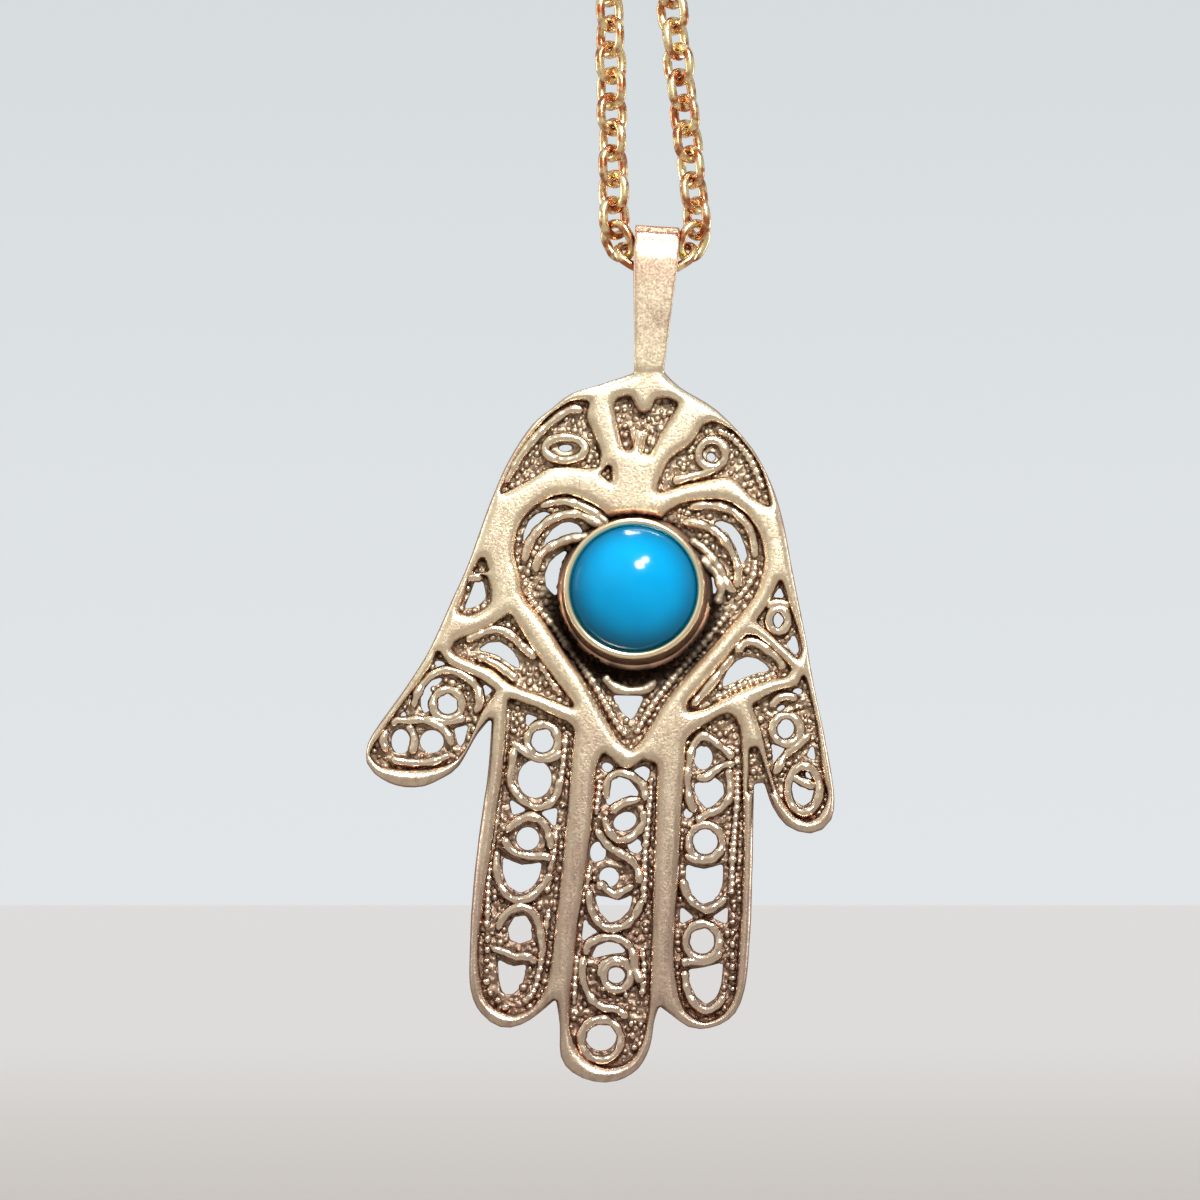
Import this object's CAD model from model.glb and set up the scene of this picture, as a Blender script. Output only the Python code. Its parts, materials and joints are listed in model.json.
import json
import math

import bpy
import numpy as np
from mathutils import Matrix, Vector, noise
from mathutils.geometry import interpolate_bezier
from mathutils.kdtree import KDTree


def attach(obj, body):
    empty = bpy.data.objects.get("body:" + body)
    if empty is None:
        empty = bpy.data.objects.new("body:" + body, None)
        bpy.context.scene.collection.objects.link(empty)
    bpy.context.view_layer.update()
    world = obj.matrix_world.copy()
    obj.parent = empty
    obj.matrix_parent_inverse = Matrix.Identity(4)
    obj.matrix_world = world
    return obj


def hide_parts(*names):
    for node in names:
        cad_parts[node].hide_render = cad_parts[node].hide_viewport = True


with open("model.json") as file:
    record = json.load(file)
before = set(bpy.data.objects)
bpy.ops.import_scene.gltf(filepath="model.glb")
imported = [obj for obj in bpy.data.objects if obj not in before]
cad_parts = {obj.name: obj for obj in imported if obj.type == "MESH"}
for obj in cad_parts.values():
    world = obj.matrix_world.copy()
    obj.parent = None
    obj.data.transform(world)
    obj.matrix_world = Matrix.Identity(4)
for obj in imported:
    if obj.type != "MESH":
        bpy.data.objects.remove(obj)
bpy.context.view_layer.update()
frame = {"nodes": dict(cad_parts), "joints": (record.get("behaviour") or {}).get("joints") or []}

# Studio
# The pendant hangs free above a pale floor, among soft lamps. The floor and the room are darker
# near the camera, and the walls behind it are warmer out to both sides, so that the satin gold
# has something to reflect.
mm = 0.001
look_at = Vector((-2.55, 0, -214.5)) * mm
camera_far = 300 * mm
camera_tilt = math.radians(-3.5)
half_view = 37.5 * mm

camera_data = bpy.data.cameras.new("camera")
camera_data.angle = 2 * math.atan(half_view / camera_far)
camera_data.clip_start = 10 * mm
camera = bpy.data.objects.new("camera", camera_data)
bpy.context.scene.collection.objects.link(camera)
camera.location = look_at + camera_far * Vector((0, -math.cos(camera_tilt), math.sin(camera_tilt)))
camera.rotation_euler = (look_at - camera.location).to_track_quat("-Z", "Y").to_euler()
bpy.context.scene.camera = camera
bpy.context.scene.view_settings.view_transform = "Standard"

# Lamps: place, size and power
lamps = {
    "key": ((45, -247, -45), 54, 1.1),
    "second": ((84, -212, -14), 40, 0.6),
    "rim_left": ((-210, 60, -170), 90, 0.1),
    "rim_right": ((210, 90, -210), 90, 0.1),
    "top": ((-6, 20, 60), 60, 1.2),
}
for name, (spot, size, power) in lamps.items():
    lamp_data = bpy.data.lights.new(name, "AREA")
    lamp_data.size = size * mm
    lamp_data.energy = power
    lamp = bpy.data.objects.new(name, lamp_data)
    bpy.context.scene.collection.objects.link(lamp)
    lamp.location = Vector(spot) * mm
    lamp.rotation_euler = (look_at - lamp.location).to_track_quat("-Z", "Y").to_euler()


class Channel:
    """A number, vector or colour on its way through a material's nodes."""

    def __init__(self, tree, socket=None):
        self.tree = tree
        self.socket = socket

    def node(self, kind, settings=None, sockets=None, out=0):
        """Adds a node, sets it up, feeds its sockets and gives one of its outputs."""
        made = self.tree.nodes.new(kind)
        for name, value in (settings or {}).items():
            setattr(made, name, value)
        for name, value in (sockets or {}).items():
            if isinstance(value, Channel):
                self.tree.links.new(value.socket, made.inputs[name])
            else:
                made.inputs[name].default_value = value
        return Channel(self.tree, made.outputs[out])

    def math(self, operation, *values):
        return self.node("ShaderNodeMath", {"operation": operation}, dict(enumerate(values)))

    def __add__(self, other):
        return self.math("ADD", self, other)

    def __sub__(self, other):
        return self.math("SUBTRACT", self, other)

    def __mul__(self, other):
        return self.math("MULTIPLY", self, other)

    def __rsub__(self, other):
        return self.math("SUBTRACT", other, self)

    __radd__ = __add__
    __rmul__ = __mul__

    def between(self, low, high):
        """Runs smoothly from 0 to 1 as the value goes from low to high."""
        limits = {"Value": self, "From Min": low, "From Max": high}
        return self.node("ShaderNodeMapRange", {"interpolation_type": "SMOOTHSTEP"}, limits)

    def tint(self, low, high):
        """Mixes two colours by this value."""
        return self.node("ShaderNodeMix", {"data_type": "RGBA"}, {0: self, 6: low, 7: high}, 2)

    def axis(self, number):
        """One coordinate of a place or direction: 0 to the right, 1 to the back, 2 up."""
        return self.node("ShaderNodeSeparateXYZ", {}, {"Vector": self}, number)

    def noise(self, size, detail=2.0, rough=0.5):
        """Noise with lumps of one size, on these coordinates."""
        sockets = {"Vector": self, "Scale": 1 / size, "Detail": detail, "Roughness": rough}
        return self.node("ShaderNodeTexNoise", {}, sockets)

    def bump(self, depth, strength=1.0):
        """A surface direction from this height, 0 to 1, and the depth of its relief."""
        sockets = {"Height": self, "Distance": depth, "Strength": strength}
        return self.node("ShaderNodeBump", {}, sockets)


def new_material(name, shader_sockets):
    """A material with its shader's plain sockets set. Gives it, its Object coordinates and shader."""
    material = bpy.data.materials.new(name)
    material.use_nodes = True
    shader = material.node_tree.nodes["Principled BSDF"]
    for socket, value in shader_sockets.items():
        shader.inputs[socket].default_value = value
    place = Channel(material.node_tree).node("ShaderNodeTexCoord", out="Object")
    return material, place, shader


def feed(shader, channels):
    """Links channels to a shader's sockets."""
    for socket, channel in channels.items():
        channel.tree.links.new(channel.socket, shader.inputs[socket])


def srgb(red, green, blue):
    """A colour given as it looks on a screen, 0 to 255."""
    def linear(value):
        value = value / 255
        return value / 12.92 if value <= 0.04045 else ((value + 0.055) / 1.055) ** 2.4
    return linear(red), linear(green), linear(blue), 1.0


wall_low = srgb(226, 230, 232)
wall_high = srgb(196, 203, 208)
dusk_left = srgb(226, 220, 208)
dusk_right = srgb(160, 150, 140)
warm_wall = srgb(156, 116, 90)
warm_share = 0.85

world = bpy.data.worlds.new("room")
bpy.context.scene.world = world
world.use_nodes = True
direction = Channel(world.node_tree).node("ShaderNodeTexCoord", out="Generated")
rightward = direction.axis(0)
backward = direction.axis(1)
upward = direction.axis(2)
behind_camera = backward.between(0.35, -0.75)
room_light = upward.between(-0.05, 0.5).tint(wall_low, wall_high)
dusk = rightward.between(-0.5, 0.45).tint(dusk_left, dusk_right)
room_light = behind_camera.tint(room_light, dusk)
to_sides = rightward.math("ABSOLUTE", rightward).between(0.5, 0.8) * backward.between(0.12, 0.4)
room_light = (to_sides * warm_share).tint(room_light, warm_wall)
background = world.node_tree.nodes["Background"]
world.node_tree.links.new(room_light.socket, background.inputs["Color"])
background.inputs["Strength"].default_value = 1.0

floor_low = -600 * mm
floor_wide = 300.0
floor_grey = srgb(90, 88, 86)
glow_near = srgb(172, 163, 155)
glow_far = srgb(206, 204, 202)
glow_turns = (0.5, 12.0)

bpy.ops.mesh.primitive_plane_add(size=floor_wide, location=(0, 0, floor_low))
ground = bpy.context.object
ground.name = "floor"
floor_finish, place, shader = new_material("pale_floor", {
    "Base Color": floor_grey, "Roughness": 0.8, "Emission Strength": 1.0})
feed(shader, {"Emission Color": place.axis(1).between(*glow_turns).tint(glow_near, glow_far)})
ground.data.materials.append(floor_finish)

# Hand
# One casting of pale champagne gold with its bail: smooth crowned bars stand over a pierced
# ground, with round scroll wires and rough granular ledges between them, all fused as cast.

# The hand's size, and the same in squares of the drawing that its places are given in
hand_w = 29.2 * mm
hand_h = 44.4 * mm
squares_w = 467
squares_h = 704
step_x = hand_w / squares_w
step_z = hand_h / squares_h
bail_at = 56
top_at = 227

# Heights of the relief above the back, the bail, and how the hand hangs on it
ground_t = 0.75 * mm
scroll_top = 1.15 * mm
bar_top = 1.7 * mm
bail_h = 9.2 * mm
bail_r = 2.18 * mm
hand_forward = 1 * mm
hang_tilt = math.radians(1.9)

swing = frame["joints"][0]
hang_point = Vector(swing["pos_m"])
lean = math.atan2(-swing["axis"][2], swing["axis"][0])
axis_up = top_at * step_z + bail_h - bail_r
hang = (
    Matrix.Translation(hang_point)
    @ Matrix.Rotation(lean, 4, "Y")
    @ Matrix.Rotation(hang_tilt, 4, "X")
    @ Matrix.Rotation(-lean, 4, "Y")
)
# The casting's own frame: X and Z as drawn, and height above its back along -Y
casting_place = hang @ Matrix.Translation((-bail_at * step_x, bar_top / 2 - hand_forward, -axis_up))


def select_only(*pieces):
    """Leaves only these objects selected, the first one active."""
    bpy.ops.object.select_all(action="DESELECT")
    for piece in pieces:
        piece.select_set(True)
    bpy.context.view_layer.objects.active = pieces[0]


def apply(piece, kind, **settings):
    """Adds a modifier to a piece, sets it and applies it."""
    select_only(piece)
    modifier = piece.modifiers.new(kind.lower(), kind)
    for name, value in settings.items():
        setattr(modifier, name, value)
    bpy.ops.object.modifier_apply(modifier=modifier.name)


def points_of(piece):
    """The piece's vertices as rows of x, y, z."""
    rows = np.empty(len(piece.data.vertices) * 3, np.float32)
    piece.data.vertices.foreach_get("co", rows)
    return rows.reshape(-1, 3)


def put_points(piece, rows):
    piece.data.vertices.foreach_set("co", rows.astype(np.float32).ravel())
    piece.data.update()


def normals_of(piece):
    rows = np.empty(len(piece.data.vertices) * 3, np.float32)
    piece.data.vertex_normals.foreach_get("vector", rows)
    return rows.reshape(-1, 3)


def smoothstep(low, high, values):
    share = np.clip((values - low) / (high - low), 0, 1)
    return share * share * (3 - 2 * share)


def weigh(piece, name, weights, steps=20):
    """Stores a weight for each vertex in a vertex group, rounded to one of a few steps."""
    group = piece.vertex_groups.new(name=name)
    rounded = np.round(np.clip(weights, 0, 1) * steps).astype(int)
    for step in range(1, steps + 1):
        group.add(np.nonzero(rounded == step)[0].tolist(), step / steps, "REPLACE")


def merged_copy(node, name):
    """A copy of a node of the frame, its loose triangles joined up."""
    piece = bpy.data.objects.new(name, frame["nodes"][node].data.copy())
    bpy.context.scene.collection.objects.link(piece)
    select_only(piece)
    bpy.ops.object.mode_set(mode="EDIT")
    bpy.ops.mesh.select_all(action="SELECT")
    bpy.ops.mesh.remove_doubles(threshold=1e-7)
    bpy.ops.object.mode_set(mode="OBJECT")
    return piece


def shade_smooth(piece):
    select_only(piece)
    bpy.ops.object.shade_smooth()


def dress(piece, material):
    """Gives a piece one material in place of any that it has."""
    piece.data.materials.clear()
    piece.data.materials.append(material)


wax_cell = 0.09 * mm
most_triangles = 194000
setting_foot = 4.75 * mm
setting_wall = 4.4 * mm
stone_x = 33.5 * step_x
stone_z = 11 * step_z
to_stone = casting_place @ Matrix.Translation((stone_x, 0, stone_z))

hand = merged_copy("hand", "hand_casting")
hand.data.transform(casting_place.inverted())

# The rough ledges of the pierced ground, kept as triangles on which grains are soldered below
level_off = 0.01 * mm
faces_front = 0.95
rows = points_of(hand)
hand.data.calc_loop_triangles()
corners = np.array([triangle.vertices[:] for triangle in hand.data.loop_triangles])
first, second, third = rows[corners[:, 0]], rows[corners[:, 1]], rows[corners[:, 2]]
squared = np.cross(second - first, third - first)
triangle_area = np.linalg.norm(squared, axis=1) / 2
is_ledge = squared[:, 1] < -2 * faces_front * triangle_area
for corner in (first, second):
    is_ledge &= np.abs(-corner[:, 1] - ground_t) < level_off
ledge_corners = np.stack([first[is_ledge], second[is_ledge], third[is_ledge]], axis=1)
ledge_area = triangle_area[is_ledge]

apply(hand, "REMESH", mode="VOXEL", voxel_size=wax_cell, adaptivity=0)


def tree_of(rows):
    """A search tree of places on the drawing."""
    tree = KDTree(len(rows))
    for i, (x, _, z) in enumerate(rows.tolist()):
        tree.insert((x, 0, z), i)
    tree.balance()
    return tree


def reach_of(tree, rows):
    """Distance of each place on the drawing from the nearest one in a tree."""
    return np.array([tree.find((x, 0, z))[2] for x, _, z in rows.tolist()])


# The walls of the pierced gaps and of the bars, as they are before any shaping
gap_band = (0.2 * mm, 0.5 * mm)
bar_band = (1.25 * mm, 1.5 * mm)
rows = points_of(hand)
height = -rows[:, 1]
upright = np.abs(normals_of(hand)[:, 1]) < 0.5
gap_walls = tree_of(rows[upright & (height > gap_band[0]) & (height < gap_band[1])])
bar_walls = tree_of(rows[upright & (height > bar_band[0]) & (height < bar_band[1])])

# Bars are crowned: round over their whole width where narrow, and along their edges where wide
crown_wide = 0.5 * mm
crown_high = 0.36 * mm
crowned_from = 1.2 * mm
crowned_to = bar_top + 0.1 * mm
on_bars = (height > crowned_from) & (height < crowned_to) & (rows[:, 2] < top_at * step_z)
share = np.clip(reach_of(bar_walls, rows[on_bars]) / crown_wide, 0, 1)
rows[on_bars, 1] = -np.minimum(height[on_bars], bar_top - crown_high * (1 - share) ** 2)

# The flat strips between the levels sink, because round wire is laid over them below
sunk_strip = 0.85 * mm
bar_foot = 1.35 * mm
far_out = 9 * mm
height = -rows[:, 1]
rows[:, 1] = -np.interp(height, [-far_out, ground_t, scroll_top, bar_foot, far_out],
                        [-far_out, ground_t, sunk_strip, bar_foot, far_out])

# The setting is turned separately, so its lump is pressed down under it
pressed_middle = 0.5 * mm
pressed_rim = 0.55 * mm
press_edge = 0.1 * mm
height = -rows[:, 1]
stone_distance = np.hypot(rows[:, 0] - stone_x, rows[:, 2] - stone_z)
most_height = np.interp(stone_distance, [0, setting_wall, setting_foot, setting_foot + press_edge],
                        [pressed_middle, pressed_rim, pressed_rim, far_out])
rows[:, 1] = -np.minimum(height, most_height)
put_points(hand, rows)

# Bars and bail are polished round, so their edges are softened more than the ledges below them
bar_rises = (1.05 * mm, 1.3 * mm)
ledge_rises = (0.3 * mm, 0.6 * mm)
ledge_ends = (1.0 * mm, 0.9 * mm)
ledge_faces = (0.4, 0.8)
bail_edge = 0.5 * mm
height = -points_of(hand)[:, 1]
facing = -normals_of(hand)[:, 1]
bail_foot = top_at * step_z
bail_share = smoothstep(bail_foot - bail_edge, bail_foot + bail_edge, points_of(hand)[:, 2])
ledge_share = smoothstep(*ledge_rises, height) * smoothstep(*ledge_ends, height)
weigh(hand, "bars", np.maximum(smoothstep(*bar_rises, height), bail_share))
weigh(hand, "ledges", ledge_share * smoothstep(*ledge_faces, facing))
apply(hand, "SMOOTH", factor=0.5, iterations=3)
apply(hand, "SMOOTH", factor=0.5, iterations=5, vertex_group="bars")

# Waviness of a hand-made wax: long and shallow all over, and short and deep on the ledges
wave_long = 1.6 * mm
wave_deep = 0.04 * mm
lump_long = 0.32 * mm
lump_deep = 0.36 * mm


def uneven(piece, name, long, deep, **settings):
    """Moves a piece's surface in and out by waves of one length and depth."""
    waves = bpy.data.textures.new(name, "CLOUDS")
    waves.noise_scale = long
    waves.noise_depth = 1
    apply(piece, "DISPLACE", texture=waves, texture_coords="LOCAL", mid_level=0.5,
          strength=deep, **settings)


uneven(hand, "wax_waves", wave_long, wave_deep)
uneven(hand, "ledge_lumps", lump_long, lump_deep, vertex_group="ledges")
hand.data.calc_loop_triangles()
apply(hand, "DECIMATE", ratio=most_triangles / len(hand.data.loop_triangles))
apply(hand, "SMOOTH", factor=0.5, iterations=2, vertex_group="bars")


spread_rounds = 14
spread_kept = 0.3
hollow_full = 0.25 * mm


def store_relief(piece):
    """Stores each vertex's height, how far it faces sideways, and how hollow it lies."""
    rows = points_of(piece)
    normals = normals_of(piece)
    edges = np.empty(len(piece.data.edges) * 2, np.int32)
    piece.data.edges.foreach_get("vertices", edges)
    ends = edges.reshape(-1, 2)
    count = np.bincount(ends.ravel(), minlength=len(rows)).clip(1)
    spread = rows.astype(np.float64)
    for _ in range(spread_rounds):
        summed = np.empty_like(spread)
        for axis in range(3):
            summed[:, axis] = (
                np.bincount(ends[:, 0], spread[ends[:, 1], axis], len(rows))
                + np.bincount(ends[:, 1], spread[ends[:, 0], axis], len(rows))
            )
        spread = spread_kept * spread + (1 - spread_kept) * summed / count[:, None]
    hollow = ((spread - rows) * normals).sum(1) / hollow_full
    relief = np.ones((len(rows), 4))
    relief[:, 0] = np.clip(-rows[:, 1] / bar_top, 0, 1)
    relief[:, 1] = 1 - np.abs(normals[:, 1])
    relief[:, 2] = np.clip(0.5 + 0.5 * hollow, 0, 1)
    layer = piece.data.attributes.new("relief", "FLOAT_COLOR", "POINT")
    layer.data.foreach_set("color", relief.astype(np.float32).ravel())


store_relief(hand)
hand.data.transform(casting_place)
shade_smooth(hand)

gold_high = srgb(248, 236, 204)
gold_pink = srgb(229, 205, 182)
gold_low = srgb(178, 156, 146)
gold_rosy = srgb(222, 176, 154)
gold_streak = srgb(152, 126, 112)
gold_smoke = srgb(160, 136, 114)
gold_wall = srgb(146, 84, 60)
gold_deep = srgb(92, 62, 42)
gold_black = srgb(28, 19, 14)
gold_rubbed = srgb(250, 238, 218)
satin_depth = 0.036 * mm

# Stretches of the casting by their place in the frame, as start and end of each change
fingers_end = (-236 * mm, -216 * mm)
bail_begins = (-201.5 * mm, -199.5 * mm)
smoke_begins = (-199.2 * mm, -197.4 * mm)
smoke_fades = (-196.2 * mm, -194.8 * mm)
bail_reddens = (-197 * mm, -192.5 * mm)
shadow_middle = to_stone @ Vector((0, 0, -0.8 * mm))
shadow_fades = (5.0 * mm, 6.4 * mm)

# Levels of its relief, as shares of the bars' height
front_from = (0.15, 0.3)
ledges_to_wires = (0.44, 0.72)
ledges_smooth = (0.5, 0.62)
wires_from = (0.58, 0.66)
wires_to = (0.8, 0.86)
bars_from = (0.78, 0.88)

pale_gold, place, shader = new_material("pale_gold", {"Metallic": 1.0, "IOR": 1.5})
relief = place.node("ShaderNodeAttribute", {"attribute_name": "relief"}, out="Color")
level, sideways, hollow = (
    relief.node("ShaderNodeSeparateColor", {}, {"Color": relief}, i) for i in range(3))
upward = place.axis(2)
on_fingers = 1 - upward.between(*fingers_end)
on_bail = upward.between(*bail_begins)
in_front = level.between(*front_from)
bloom = place.noise(1.6 * mm, detail=4.0).between(0.3, 0.7) * 0.6 + on_fingers * 0.3
sand = place.noise(0.15 * mm, detail=3.0, rough=0.6)
worn = place.noise(0.5 * mm, detail=3.0)
drawn_out = place.node("ShaderNodeMapping", {}, {"Vector": place, "Scale": (1, 1, 0.12)})
streaks = on_fingers * drawn_out.noise(0.45 * mm, detail=3.0).between(0.45, 0.7)
smoke = upward.between(*smoke_begins) * (1 - upward.between(*smoke_fades))
smoke = smoke * place.noise(1.5 * mm).between(0.3, 0.6)
wall = sideways.between(0.3, 0.75) * 0.8
pits = hollow + (worn - 0.5) * 0.25
from_stone = place.node(
    "ShaderNodeVectorMath", {"operation": "DISTANCE"}, {0: place, 1: shadow_middle}, "Value")
shadow = (1 - from_stone.between(*shadow_fades)) * (in_front - level.between(*bars_from))
speckle = place.noise(0.3 * mm, detail=4.0, rough=0.65).between(0.52, 0.72)
wiry = level.between(*wires_from) * (1 - level.between(*wires_to)) * (1 - shadow)

colour = bloom.tint(gold_high, gold_pink)
colour = (on_fingers * 0.55).tint(colour, gold_low)
colour = (upward.between(*bail_reddens) * 0.6).tint(colour, gold_rosy)
colour = (streaks * 0.45).tint(colour, gold_streak)
colour = (smoke * 0.6).tint(colour, gold_smoke)
colour = wall.tint(colour, gold_wall)
colour = (pits.between(0.52, 0.85) * 0.9).tint(colour, gold_deep)
colour = (in_front * (1 - level.between(*ledges_to_wires)) * 0.7).tint(colour, gold_deep)
colour = (shadow * 0.97).tint(colour, gold_black)
colour = (speckle * (1 - on_bail) * 0.3).tint(colour, gold_wall)
colour = (wiry * (1 - sideways.between(0.2, 0.6)) * 0.4).tint(colour, gold_rubbed)
gloss = 0.25 + sand.between(0.3, 0.7) * 0.16 + pits.between(0.5, 0.8) * 0.2
gloss = gloss + (in_front - level.between(*ledges_smooth)) * 0.2 - wiry * 0.12 + shadow * 0.35
gloss = gloss + wall * 0.15
satin = (sand * 0.65 + worn * 0.35) * (1 - wiry * 0.8) * (1 - on_bail * 0.75)
feed(shader, {"Base Color": colour, "Roughness": gloss, "Normal": satin.bump(satin_depth)})
dress(hand, pale_gold)
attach(hand, "pendant")
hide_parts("hand")

# Scroll wires
# Round wire, bent by hand into rings and scrolls and tapped flat in places. The twisted ones
# run along the bars and look like rows of beads. All are soldered to the ground.
wire_r = 0.31 * mm
wire_middle = 1.06 * mm
wire_step = 0.09 * mm
wire_lumps = 0.1 * mm
twist_length = 0.47 * mm
twist_sunk = 0.13 * mm
rise_and_fall = 0.11 * mm
end_shares = (0.5, 0.8, 0.95)

# Thickness as a share of the full wire: its waves on plain wire, and beads and waves on twisted
plain_waves = 0.35
twist_thick = 0.8
twist_beads = 0.19
twist_waves = 0.25
twist_wanders = 4

# Stops of each wire, in squares of the drawing
plain_wires = [
    # Top fields
    [(-95, 116), (-80, 142), (-60, 166), (-40, 183), (-28, 189), (-16, 188)],
    [(127, 140), (115, 131), (103, 125), (90, 122), (72, 117)],
    [(38, 144), (37, 156), (32, 172)],
    [(39, 144), (41, 157), (46, 170)],
    [(-136, 22), (-126, 23), (-117, 22)],
    # Heart, left and right
    [(-76, 38), (-71, 55), (-62, 69), (-50, 79), (-37, 84), (-23, 85), (-10, 80), (4, 73)],
    [(-65, 28), (-61, 42), (-52, 51), (-40, 57), (-28, 61), (-10, 63)],
    [(-60, 93), (-45, 97), (-30, 97), (-8, 88), (8, 76)],
    [(90, 92), (105, 94), (118, 93), (130, 89), (141, 81), (150, 69), (154, 55), (155, 42)],
    [(83, 78), (97, 76), (110, 71), (121, 63), (129, 52), (135, 40), (138, 28), (137, 12)],
    [(90, 60), (103, 51), (113, 40), (121, 28), (127, 15), (135, 8)],
    [(100, 44), (108, 34), (116, 26), (121, 12), (117, -4)],
    [(4, -75), (12, -84), (22, -89), (34, -90), (46, -88), (56, -80)],
    # Triangles beside the heart
    [(-134, -40), (-122, -34), (-108, -29), (-97, -30), (-87, -36), (-78, -45), (-64, -57)],
    [(-122, -56), (-113, -59), (-103, -64), (-93, -71), (-82, -79)],
    [(136, -52), (142, -44), (150, -41), (160, -44), (170, -51), (178, -58), (184, -68)],
    [(133, -55), (122, -68), (113, -80), (103, -92), (92, -104)],
    # Thumb
    [(-186, -106), (-183, -95), (-177, -83), (-166, -73), (-153, -69), (-140, -72),
     (-128, -80), (-121, -90), (-120, -102), (-124, -112)],
    [(-178, -117), (-165, -119), (-150, -120), (-134, -116)],
    [(-207, -124), (-203, -119), (-192, -119), (-180, -118), (-168, -121), (-158, -126),
     (-151, -134), (-147, -144)],
    [(-192, -124), (-186, -132), (-185, -142), (-188, -152)],
    [(-213, -128), (-216, -138), (-213, -150)],
    [(-208, -157), (-196, -160), (-180, -161), (-164, -159), (-150, -153)],
    # Ring finger
    [(-86, -146), (-88, -165), (-90, -178), (-84, -190), (-74, -200), (-62, -205), (-50, -201),
     (-42, -190), (-40, -176)],
    [(-94, -229), (-84, -220), (-72, -214), (-60, -217), (-52, -228), (-48, -246)],
    [(-96, -234), (-91, -244), (-84, -250), (-70, -253), (-56, -253), (-48, -256)],
    [(-103, -248), (-103, -268), (-98, -284), (-89, -294), (-78, -296), (-67, -292),
     (-57, -282), (-48, -270)],
    [(-102, -325), (-96, -313), (-88, -306), (-77, -303), (-67, -308), (-61, -320),
     (-58, -336), (-56, -350)],
    [(-108, -344), (-96, -347), (-85, -352), (-73, -352), (-63, -358)],
    [(-88, -140), (-80, -146), (-70, -153), (-60, -157), (-48, -156), (-38, -150)],
    # Middle finger
    [(6, -196), (7, -180), (14, -172), (24, -171), (34, -175), (43, -184), (46, -198)],
    [(10, -210), (18, -204), (28, -199), (40, -197)],
    [(42, -208), (44, -218), (38, -228), (28, -236), (17, -236), (8, -226), (4, -214)],
    [(-4, -226), (4, -238), (12, -246), (22, -251), (32, -258), (38, -268), (40, -280)],
    [(-4, -284), (2, -282), (8, -287), (16, -291), (24, -287), (34, -282)],
    [(-10, -286), (-11, -298), (-6, -312), (3, -322), (14, -324), (26, -321), (35, -311),
     (42, -296)],
    [(-14, -350), (-13, -341), (-5, -336), (6, -333), (17, -334), (28, -340), (34, -352),
     (36, -366), (42, -378)],
    [(-16, -352), (-18, -368), (-14, -384), (-6, -396), (4, -402), (16, -404), (28, -412)],
    [(0, -372), (2, -362), (9, -356), (20, -355), (29, -360)],
    # First finger
    [(94, -210), (89, -196), (87, -180), (88, -164), (92, -146), (100, -135), (109, -136),
     (118, -143), (127, -150), (134, -156)],
    [(96, -176), (106, -175), (114, -169), (124, -163), (134, -162)],
    [(128, -166), (130, -180), (129, -194), (120, -206), (106, -212), (95, -219)],
    [(82, -276), (86, -290), (94, -300), (106, -306), (117, -301), (126, -294)],
    [(84, -252), (94, -256), (106, -257), (118, -253)],
    [(80, -358), (90, -357), (102, -357), (114, -354), (120, -346)],
    [(84, -366), (86, -382), (92, -396), (104, -405), (116, -401), (124, -390)],
    # Little finger
    [(170, -106), (178, -97), (188, -95), (198, -98)],
    [(174, -172), (182, -158), (190, -149), (200, -141), (210, -132)],
    [(193, -174), (200, -179), (208, -182), (214, -186)],
    # Right side of the palm
    [(166, -6), (178, -3), (190, -6)],
]
twisted_wires = [
    [(118, 168), (131, 162), (141, 152), (150, 140), (157, 126), (163, 110)],
    [(155, 38), (153, 24), (146, 12), (136, 0)],
    [(-72, 8), (-66, -3), (-54, -17), (-42, -32), (-29, -51), (-14, -71), (-3, -88),
     (8, -107), (18, -124), (26, -134)],
    [(36, -132), (45, -116), (56, -99), (70, -81), (93, -54), (111, -34), (128, -13)],
    [(112, -98), (125, -93), (135, -88), (148, -82), (162, -78), (178, -73)],
    [(-60, -62), (-50, -78), (-38, -94)],
    [(-93, -104), (-93, -122), (-95, -145), (-98, -170), (-101, -194), (-104, -220),
     (-108, -245), (-111, -272), (-112, -300), (-113, -326)],
    [(-34, -134), (-36, -155), (-39, -178), (-43, -200)],
    [(-44, -228), (-46, -250), (-50, -272), (-53, -290)],
    [(-51, -306), (-54, -326), (-57, -346), (-60, -366), (-66, -386), (-76, -398)],
    [(0, -178), (-2, -196), (-4, -212)],
    [(-10, -262), (-13, -280), (-17, -300)],
    [(-23, -352), (-25, -376), (-26, -400)],
    [(51, -176), (50, -196), (48, -216), (46, -238), (45, -258), (44, -280), (44, -300)],
    [(42, -344), (44, -366), (42, -392)],
    [(83, -152), (83, -176), (85, -196)],
    [(137, -170), (137, -196), (135, -222), (133, -246), (132, -268), (131, -292)],
    [(186, -188), (190, -202), (200, -211)],
    [(219, -168), (221, -184), (217, -200)],
]
# Rings: x, z, half width and half height to the middle of the wire
wire_rings = [
    (-35, 150, 20, 11.5), (112, 145, 13.5, 13.5),
    (-152, -103, 14.5, 14.5), (-57, -139, 15.5, 16), (17, -371, 13.5, 14), (1, -434, 20, 20),
    (105, -239, 17, 17), (102, -337, 17, 17.5), (203, -187, 16, 23), (178, -20, 9.5, 11.5),
    (186, -128, 14, 14),
]


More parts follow.
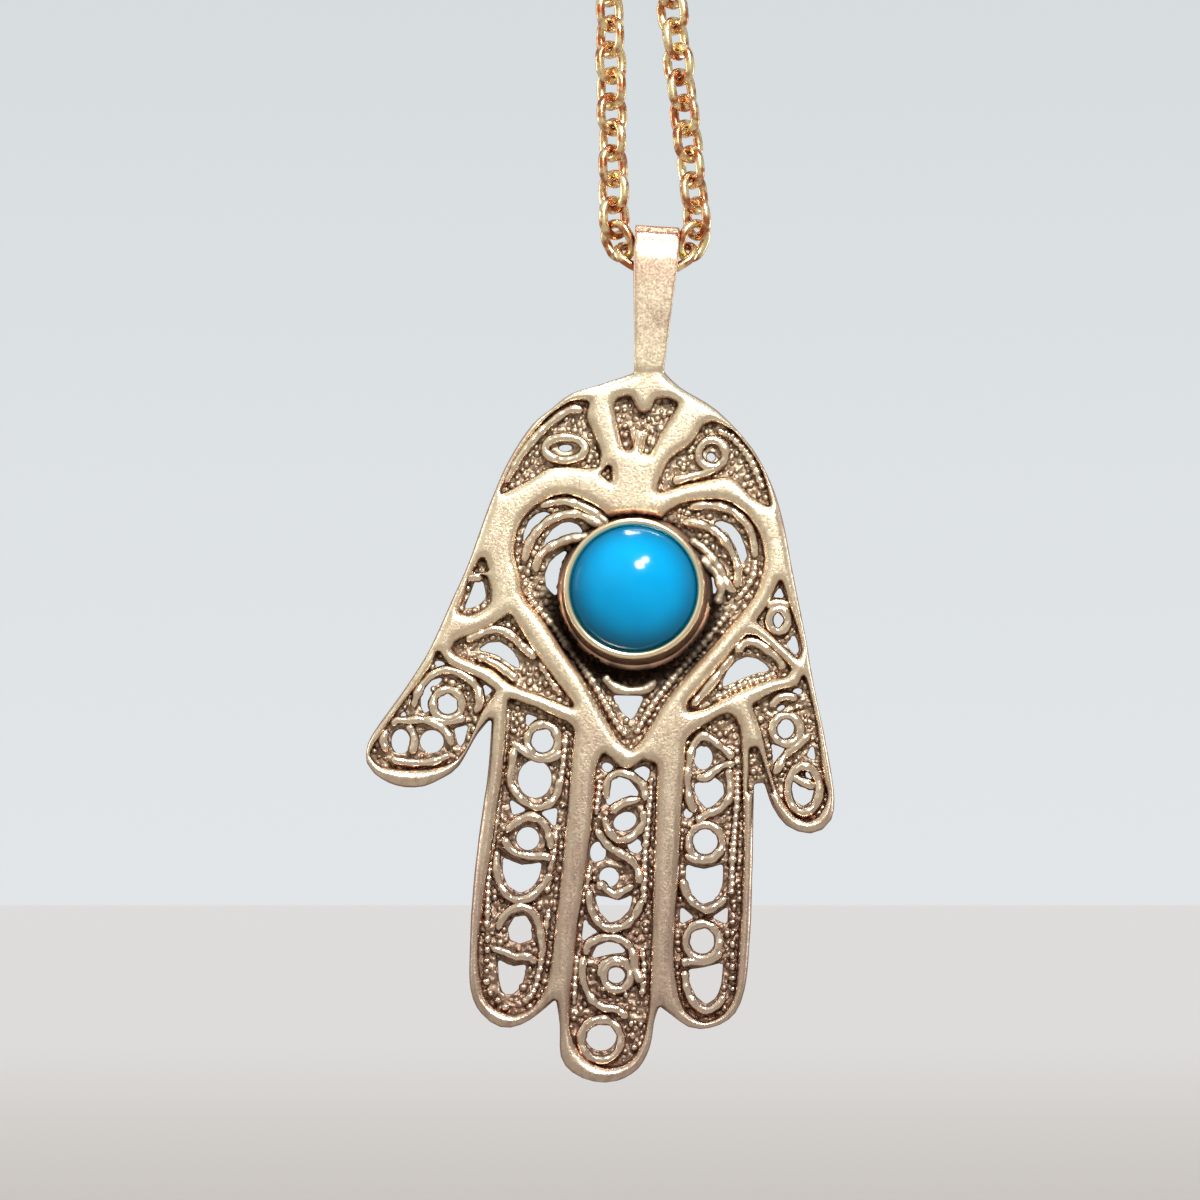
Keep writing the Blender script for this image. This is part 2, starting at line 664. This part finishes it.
def bent(stops):
    """A smooth line through stops given in squares of the drawing."""
    places = [Vector((x * step_x, z * step_z)) for x, z in stops]
    line = []
    for i in range(len(places) - 1):
        start_at, end_at = places[i], places[i + 1]
        leave = (end_at - places[i - 1]) / 6 if i > 0 else (end_at - start_at) / 3
        arrive = (places[i + 2] - start_at) / 6 if i + 2 < len(places) else (end_at - start_at) / 3
        count = max(2, round((end_at - start_at).length / wire_step))
        line += interpolate_bezier(start_at, start_at + leave, end_at - arrive, end_at, count + 1)[:-1]
    return line + [places[-1]]


def lay_wire(curve, line, closed, twisted):
    """Adds one wire to a curve, with the unevenness of handwork in its thickness and height."""
    spline = curve.splines.new("POLY")
    spline.points.add(len(line) - 1)
    spline.use_cyclic_u = closed
    done = 0
    for i, place in enumerate(line):
        done += (place - line[i - 1]).length if i else 0
        spot = Vector((place.x, place.y, 0)) / mm
        wave = noise.noise(spot * 0.9)
        thick = 1 + plain_waves * noise.noise(spot * 1.5 + Vector((5, 0, 0)))
        if twisted:
            turned_by = 2 * math.pi * done / twist_length + twist_wanders * wave
            thick = twist_thick + twist_beads * math.cos(turned_by) + twist_waves * wave
        if not closed:
            to_end = min(i, len(line) - 1 - i)
            thick *= end_shares[to_end] if to_end < len(end_shares) else 1
        rise = wire_middle + rise_and_fall * wave - (twist_sunk if twisted else 0)
        spline.points[i].co = (place.x, -rise, place.y, 1)
        spline.points[i].radius = thick


wire_curve = bpy.data.curves.new("wires", "CURVE")
wire_curve.dimensions = "3D"
wire_curve.bevel_depth = wire_r
wire_curve.bevel_resolution = 3
wire_curve.use_fill_caps = True
for stops in plain_wires:
    lay_wire(wire_curve, bent(stops), False, False)
for stops in twisted_wires:
    lay_wire(wire_curve, bent(stops), False, True)
for x, z, half_wide, half_high in wire_rings:
    count = round(2 * math.pi * half_wide * step_x / wire_step)
    line = []
    for i in range(count):
        angle = 2 * math.pi * i / count
        at_x = x + half_wide * math.cos(angle)
        at_z = z + half_high * math.sin(angle)
        line.append(Vector((at_x * step_x, at_z * step_z)))
    lay_wire(wire_curve, line, True, False)
wire_places = [point.co.xyz for spline in wire_curve.splines for point in spline.points]
wires = bpy.data.objects.new("scroll_wires", wire_curve)
bpy.context.scene.collection.objects.link(wires)
select_only(wires)
bpy.ops.object.convert(target="MESH")
uneven(wires, "wire_lumps", lump_long, wire_lumps)
store_relief(wires)
wires.data.transform(casting_place)
shade_smooth(wires)
dress(wires, pale_gold)
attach(wires, "pendant")

# Grains
# Small melted grains of gold, strewn over the ledges between the wires and laid in a few neat
# rows. They are fused to the ledges, the strewn ones half sunk in them.
dice = np.random.RandomState(7)
grain_pitch = 0.37 * mm
grain_small = 0.15 * mm
grain_large = 0.28 * mm
grain_edge = 0.22 * mm
grain_from_wire = 0.38 * mm
grain_middle = ground_t - 0.07 * mm
grain_sinks = (-0.06, 0.04)
grain_stretch = (0.8, 1.25)
grain_lumps = 0.08 * mm
row_grain = 0.23 * mm
tries_per_grain = 6

# Rows: first grain, last grain and their number, in squares of the drawing
grain_rows = [
    ((-112, -335), (-113, -377), 5), ((-109, -388), (-94, -402), 3),
    ((132, -318), (132, -384), 7), ((31, -418), (34, -442), 3), ((3, -384), (26, -390), 3),
    ((-140, -86), (-138, -102), 3), ((196, -208), (210, -208), 2), ((118, -334), (121, -346), 2),
]
wire_tree = tree_of(np.array(wire_places))
tries = int(tries_per_grain * ledge_area.sum() / grain_pitch ** 2)
picked = dice.choice(len(ledge_area), tries, p=ledge_area / ledge_area.sum())
shares = dice.dirichlet((1, 1, 1), tries)
spots = (ledge_corners[picked] * shares[:, :, None]).sum(1)
kept = []
crowded = {}
for spot in spots:
    x, _, z = spot
    column = int(x // grain_pitch)
    row = int(z // grain_pitch)
    near = [other for i in (-1, 0, 1) for j in (-1, 0, 1)
            for other in crowded.get((column + i, row + j), ())]
    fits = (
        math.hypot(x - stone_x, z - stone_z) > setting_foot
        and gap_walls.find((x, 0, z))[2] > grain_edge
        and wire_tree.find((x, 0, z))[2] > grain_from_wire
        and all(np.hypot(*(spot - other)[[0, 2]]) > grain_pitch for other in near)
    )
    if fits:
        crowded.setdefault((column, row), []).append(spot)
        kept.append((x, -grain_middle - dice.uniform(*grain_sinks) * mm, z))
grain_sizes = list(dice.uniform(grain_small, grain_large, len(kept)))
for (x0, z0), (x1, z1), count in grain_rows:
    for k in range(count):
        share = k / (count - 1)
        at_x = x0 + (x1 - x0) * share
        at_z = z0 + (z1 - z0) * share
        kept.append((at_x * step_x, -wire_middle, at_z * step_z))
        grain_sizes.append(row_grain)

bpy.ops.object.select_all(action="DESELECT")
bpy.ops.mesh.primitive_ico_sphere_add(subdivisions=2, radius=1)
grain = bpy.context.object
grain_points = points_of(grain)
grain_faces = np.array([face.vertices[:] for face in grain.data.polygons])
bpy.data.objects.remove(grain)
stretch = dice.uniform(*grain_stretch, (len(kept), 1, 3))
points = np.array(kept)[:, None] + grain_points * np.array(grain_sizes)[:, None, None] * stretch
faces = np.arange(len(kept))[:, None, None] * len(grain_points) + grain_faces
grains_mesh = bpy.data.meshes.new("grains")
grains_mesh.from_pydata(points.reshape(-1, 3).tolist(), [], faces.reshape(-1, 3).tolist())
grains = bpy.data.objects.new("grains", grains_mesh)
bpy.context.scene.collection.objects.link(grains)
uneven(grains, "grain_lumps", lump_long, grain_lumps)
store_relief(grains)
grains.data.transform(casting_place)
shade_smooth(grains)
dress(grains, pale_gold)
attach(grains, "pendant")

# Setting
# A turned cup of the same gold, soldered to the hand: its wall flares out at the foot, and its
# bright lip is pushed in over the stone's edge.
seat_top = 0.95 * mm
bezel_top = 2.73 * mm
wall_in = 4.06 * mm
lip_reach = 3.92 * mm
foot_shift = (0.05, -0.13)
setting_sides = 160
soft_edge = math.radians(50)

# Radius and height of its profile: foot, turned wall, pushed-in lip and seat
setting_profile = [
    (setting_foot - 0.1 * mm, 0.45 * mm), (setting_foot + 0.12 * mm, 0.6 * mm),
    (setting_foot + 0.12 * mm, 0.74 * mm), (setting_foot + 0.05 * mm, 0.84 * mm),
    (setting_wall + 0.24 * mm, 0.98 * mm), (setting_wall + 0.16 * mm, 1.05 * mm),
    (setting_wall + 0.17 * mm, 1.12 * mm), (setting_wall + 0.10 * mm, 1.35 * mm),
    (setting_wall + 0.08 * mm, 1.4 * mm), (setting_wall + 0.09 * mm, 1.46 * mm),
    (setting_wall + 0.04 * mm, 1.8 * mm), (setting_wall + 0.015 * mm, 1.85 * mm),
    (setting_wall + 0.03 * mm, 1.92 * mm), (setting_wall, 2.35 * mm),
    (setting_wall - 0.015 * mm, 2.5 * mm), (setting_wall - 0.05 * mm, 2.6 * mm),
    (setting_wall - 0.11 * mm, 2.685 * mm), (setting_wall - 0.19 * mm, bezel_top),
    (lip_reach + 0.19 * mm, bezel_top - 0.01 * mm), (lip_reach + 0.07 * mm, bezel_top - 0.07 * mm),
    (lip_reach, bezel_top - 0.17 * mm), (lip_reach + 0.01 * mm, bezel_top - 0.28 * mm),
    (wall_in, 2.36 * mm), (wall_in, seat_top), (wall_in - 0.05 * mm, seat_top - 0.03 * mm),
    (0.6 * mm, seat_top - 0.03 * mm), (0.6 * mm, 0.45 * mm),
]


def turned(name, profile, sides, closed):
    """Turns a profile of radius and height about the stone's axis, in the casting's own frame."""
    mesh = bpy.data.meshes.new(name)
    piece = bpy.data.objects.new(name, mesh)
    bpy.context.scene.collection.objects.link(piece)
    count = len(profile)
    edges = [(i, (i + 1) % count) for i in range(count if closed else count - 1)]
    mesh.from_pydata([(radius, -rise, 0) for radius, rise in profile], edges, [])
    select_only(piece)
    bpy.ops.object.mode_set(mode="EDIT")
    bpy.ops.mesh.select_all(action="SELECT")
    bpy.ops.mesh.spin(steps=sides, angle=2 * math.pi, center=(0, 0, 0), axis=(0, 1, 0))
    bpy.ops.mesh.select_all(action="SELECT")
    bpy.ops.mesh.remove_doubles(threshold=1e-6)
    bpy.ops.mesh.normals_make_consistent(inside=False)
    bpy.ops.object.mode_set(mode="OBJECT")
    mesh.transform(to_stone)
    bpy.ops.object.shade_smooth_by_angle(angle=soft_edge)
    return piece


# It leans a little: each level is shifted to the right and down by a share of its depth below the lip
setting = turned("setting", setting_profile, setting_sides, True)
setting.data.transform(to_stone.inverted())
rows = points_of(setting)
rows[:, [0, 2]] += np.outer(bezel_top + rows[:, 1], foot_shift)
put_points(setting, rows)
setting.data.transform(to_stone)

setting_gold = srgb(244, 208, 184)
lip_gold = srgb(255, 242, 206)
lip_rises = (2.45 * mm, 2.66 * mm)
foot_ends = (0.7 * mm, 1.1 * mm)
fine_depth = 0.006 * mm

bright_gold, place, shader = new_material("bright_gold", {"Metallic": 1.0})
from_foot = place.node(
    "ShaderNodeVectorMath", {"operation": "SUBTRACT"}, {0: place, 1: to_stone.translation})
forward = to_stone.to_3x3() @ Vector((0, -1, 0))
above_back = place.node(
    "ShaderNodeVectorMath", {"operation": "DOT_PRODUCT"}, {0: from_foot, 1: forward}, "Value")
lip = above_back.between(*lip_rises)
foot = 1 - above_back.between(*foot_ends)
smudge = place.noise(1.1 * mm, detail=3.0).between(0.5, 0.75) * (1 - lip)
sand = place.noise(0.1 * mm)
colour = lip.tint(setting_gold, lip_gold)
colour = (foot * 0.4).tint(colour, gold_deep)
colour = (smudge * 0.35).tint(colour, gold_wall)
gloss = 0.30 - lip * 0.12 + sand * 0.08
feed(shader, {"Base Color": colour, "Roughness": gloss, "Normal": sand.bump(fine_depth, 0.5)})
dress(setting, bright_gold)
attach(setting, "pendant")

# Stone
# A round cabochon of even turquoise blue, cut with a straight girdle and a low polished dome.
stone_r = 4 * mm
stone_base = 1.01 * mm
girdle_top = 2.31 * mm
dome_h = 2.1 * mm
dome_r = (stone_r ** 2 + dome_h ** 2) / (2 * dome_h)
dome_rings = 28
stone_sides = 128
girdle_in = 0.02 * mm
base_in = 0.12 * mm
base_bevel = 0.1 * mm

stone_profile = [
    (0, stone_base), (stone_r - base_in, stone_base),
    (stone_r - girdle_in, stone_base + base_bevel), (stone_r - girdle_in, girdle_top - girdle_in),
]
for ring in range(1, dome_rings + 1):
    angle = math.asin(stone_r / dome_r) * (1 - ring / dome_rings)
    rise = girdle_top + dome_h - dome_r + dome_r * math.cos(angle)
    stone_profile.append((dome_r * math.sin(angle), rise))
stone = turned("cabochon", stone_profile, stone_sides, False)

stone_blue = srgb(0, 128, 178)
stone_light = srgb(0, 140, 188)
stone_rim = srgb(0, 74, 104)
rim_darkens = (2.6 * mm, 4.2 * mm)
girdle_middle = to_stone @ Vector((0, -girdle_top, 0))

turquoise, place, shader = new_material(
    "turquoise", {"Roughness": 0.13, "IOR": 1.45, "Specular IOR Level": 0.22})
from_middle = place.node(
    "ShaderNodeVectorMath", {"operation": "DISTANCE"}, {0: place, 1: girdle_middle}, "Value")
mottle = place.noise(1.6 * mm, detail=4.0).between(0.3, 0.75)
colour = (mottle * 0.35).tint(stone_blue, stone_light)
colour = from_middle.between(*rim_darkens).tint(colour, stone_rim)
feed(shader, {"Base Color": colour})
dress(stone, turquoise)
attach(stone, "pendant")
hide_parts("stone")

# Chain
# A cable chain of oval links of round wire in a redder gold, each turned across the next. It
# hangs doubled from above, passes through the bail, and is closed with a spring ring.
chain_len = 400 * mm
link_len = 2.72 * mm
link_w = 2.25 * mm
link_wire = 0.47 * mm
worn_wire = 0.58 * mm
link_gap = 0.14 * mm
strand_gap = 3.9 * mm
bail_bend = 5.2 * mm
closing_h = 14 * mm
bail_right = 0.95 * mm
bend_crowding = 1.13
link_turn = math.radians(45)
link_wobble = 7
clasp_d = 5.2 * mm
clasp_wire = 0.9 * mm
eye_d = 2.9 * mm
eye_wire = 0.5 * mm
clasp_drop = 14 * mm

pitch = link_len - 2 * link_wire - link_gap
link_reach = (link_len - link_wire) / 2
ring_mid = (clasp_d - clasp_wire) / 2
eye_mid = (eye_d - eye_wire) / 2
eye_place = link_reach + eye_mid - (eye_wire + link_wire) / 2 - link_gap
ring_place = eye_place + eye_mid + ring_mid
clasp_span = ring_place + ring_mid - (clasp_wire + link_wire) / 2 - link_gap + link_reach
top_bend_r = strand_gap / 2
bail_bend_r = bail_bend / 2


def touch(place, radius, side):
    """Where a line from a place outside touches a circle about the origin, on side 1 or -1."""
    turn = side * math.acos(radius / place.length)
    return radius * (Matrix.Rotation(turn, 2) @ place.normalized())


def leg(begins, heading, length, turn=0.0, crowding=1.0):
    """A stretch of the route. Crowding is the length of chain on it over its own length."""
    return {"begins": begins, "heading": heading, "length": length, "turn": turn, "crowding": crowding}


def on_leg(part, done):
    """Place and heading at a distance along one leg."""
    heading = part["heading"] + part["turn"] * done / part["length"]
    if part["turn"] == 0:
        return part["begins"] + done * Vector((math.cos(heading), math.sin(heading))), heading
    radius = part["length"] / part["turn"]
    sweep = Vector((math.sin(heading) - math.sin(part["heading"]),
                    math.cos(part["heading"]) - math.cos(heading)))
    return part["begins"] + radius * sweep, heading


def on_route(done):
    """Place and heading at a distance along the whole route."""
    for part in legs[:-1]:
        if done <= part["length"] * part["crowding"]:
            return on_leg(part, done / part["crowding"])
        done -= part["length"] * part["crowding"]
    return on_leg(legs[-1], done / legs[-1]["crowding"])


# The route, with the clock from its lowest point: up the left strand, over the top bend, down the
# right strand and back. The lowest stretch of both strands slants to the bend under the bail.
left_knee = Vector((-top_bend_r - bail_right, closing_h))
right_knee = Vector((top_bend_r - bail_right, closing_h))
left_touch = touch(left_knee, bail_bend_r, 1)
right_touch = touch(right_knee, bail_bend_r, -1)
left_slant = left_knee - left_touch
right_slant = right_touch - right_knee
lowest_at = math.radians(270 + 360)
left_bend = (lowest_at - math.atan2(left_touch.y, left_touch.x)) % (2 * math.pi)
right_bend = math.pi / 2 + math.atan2(right_touch.y, right_touch.x)
steps = 2 * math.floor((chain_len - clasp_span) / pitch / 2)
bends_len = bend_crowding * (bail_bend_r * (left_bend + right_bend) + math.pi * top_bend_r)
strand_len = (steps * pitch + clasp_span - bends_len - left_slant.length - right_slant.length) / 2
bend_z = -strand_len - closing_h
bend_middle = Vector((bail_right, bend_z))
left_heading = math.atan2(left_slant.y, left_slant.x)
right_heading = math.atan2(right_slant.y, right_slant.x)
legs = [
    leg(bend_middle - Vector((0, bail_bend_r)), math.pi,
        bail_bend_r * left_bend, -left_bend, bend_crowding),
    leg(left_touch + bend_middle, left_heading, left_slant.length),
    leg(Vector((-top_bend_r, -strand_len)), math.pi / 2, strand_len),
    leg(Vector((-top_bend_r, 0)), math.pi / 2, math.pi * top_bend_r, -math.pi, bend_crowding),
    leg(Vector((top_bend_r, 0)), -math.pi / 2, strand_len),
    leg(Vector((top_bend_r, -strand_len)), right_heading, right_slant.length),
    leg(right_touch + bend_middle, math.pi + right_bend,
        bail_bend_r * right_bend, -right_bend, bend_crowding),
]
to_top_bend = bend_crowding * legs[0]["length"] + legs[1]["length"] + strand_len
left_links = math.floor((to_top_bend - clasp_drop) / pitch)
right_links = steps - left_links
route_len = steps * pitch + clasp_span


def chain_matrix(done, turn):
    """Puts a piece that lies along X on the chain's route."""
    spot, heading = on_route(done)
    return (
        Matrix.Translation((spot.x, 0, spot.y))
        @ Matrix.Rotation(-heading, 4, "Y")
        @ Matrix.Rotation(turn, 4, "X")
    )


def turn_of(number):
    """Links are turned to one side and to the other by turns."""
    return link_turn * (1 if number % 2 == 0 else -1)


# One link: a round ring, its two halves drawn apart into an oval
link_sides = 28
wire_sides = 10
half_straight = (link_len - link_w) / 2
drawn_within = 0.2 * mm
bpy.ops.object.select_all(action="DESELECT")
bpy.ops.mesh.primitive_torus_add(
    major_radius=(link_w - link_wire) / 2, minor_radius=worn_wire / 2,
    major_segments=link_sides, minor_segments=wire_sides)
link = bpy.context.object
rows = points_of(link)
rows[:, 0] += half_straight * np.clip(rows[:, 0] / drawn_within, -1, 1)
put_points(link, rows)

links = []
link_stops = [(i * pitch, i) for i in range(left_links + 1)]
link_stops += [(route_len - i * pitch, i) for i in range(1, right_links + 1)]
for done, i in link_stops:
    copied = bpy.data.objects.new("link", link.data.copy())
    bpy.context.scene.collection.objects.link(copied)
    wobble = math.radians(dice.uniform(-link_wobble, link_wobble))
    copied.data.transform(chain_matrix(done, turn_of(i) + wobble))
    links.append(copied)
bpy.data.objects.remove(link)
select_only(*links)
bpy.ops.object.join()
chain = bpy.context.object
chain.name = "cable_chain"
shade_smooth(chain)

chain_yellow = srgb(253, 235, 184)
chain_red = srgb(188, 114, 76)
chain_dark = srgb(150, 78, 40)
scuff_depth = 0.012 * mm

chain_gold, place, shader = new_material("chain_gold", {"Metallic": 1.0})
tone = place.noise(0.7 * mm, detail=3.0).between(0.42, 0.62)
scuff = place.noise(0.2 * mm, detail=3.0)
colour = tone.tint(chain_yellow, chain_red)
colour = (scuff.between(0.56, 0.75) * 0.5).tint(colour, chain_dark)
gloss = 0.17 + scuff * 0.16
feed(shader, {"Base Color": colour, "Roughness": gloss, "Normal": scuff.bump(scuff_depth, 0.7)})
dress(chain, chain_gold)
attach(chain, "chain")
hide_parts("chain")

# Clasp
# A plain spring ring of round tube, high on the left strand. The link below holds its small eye,
# and the link above passes through the ring.
clasp_sides = 64
clasp_wire_sides = 20
clasp_parts = []
for middle_r, wire, along in ((ring_mid, clasp_wire, ring_place), (eye_mid, eye_wire, eye_place)):
    bpy.ops.object.select_all(action="DESELECT")
    bpy.ops.mesh.primitive_torus_add(
        major_radius=middle_r, minor_radius=wire / 2,
        major_segments=clasp_sides, minor_segments=clasp_wire_sides)
    part = bpy.context.object
    part.data.transform(Matrix.Translation((along, 0, 0)))
    clasp_parts.append(part)
select_only(*clasp_parts)
bpy.ops.object.join()
clasp = bpy.context.object
clasp.name = "spring_ring"
clasp.data.transform(chain_matrix(left_links * pitch, -turn_of(left_links)))
shade_smooth(clasp)
dress(clasp, chain_gold)
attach(clasp, "chain")
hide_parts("clasp")
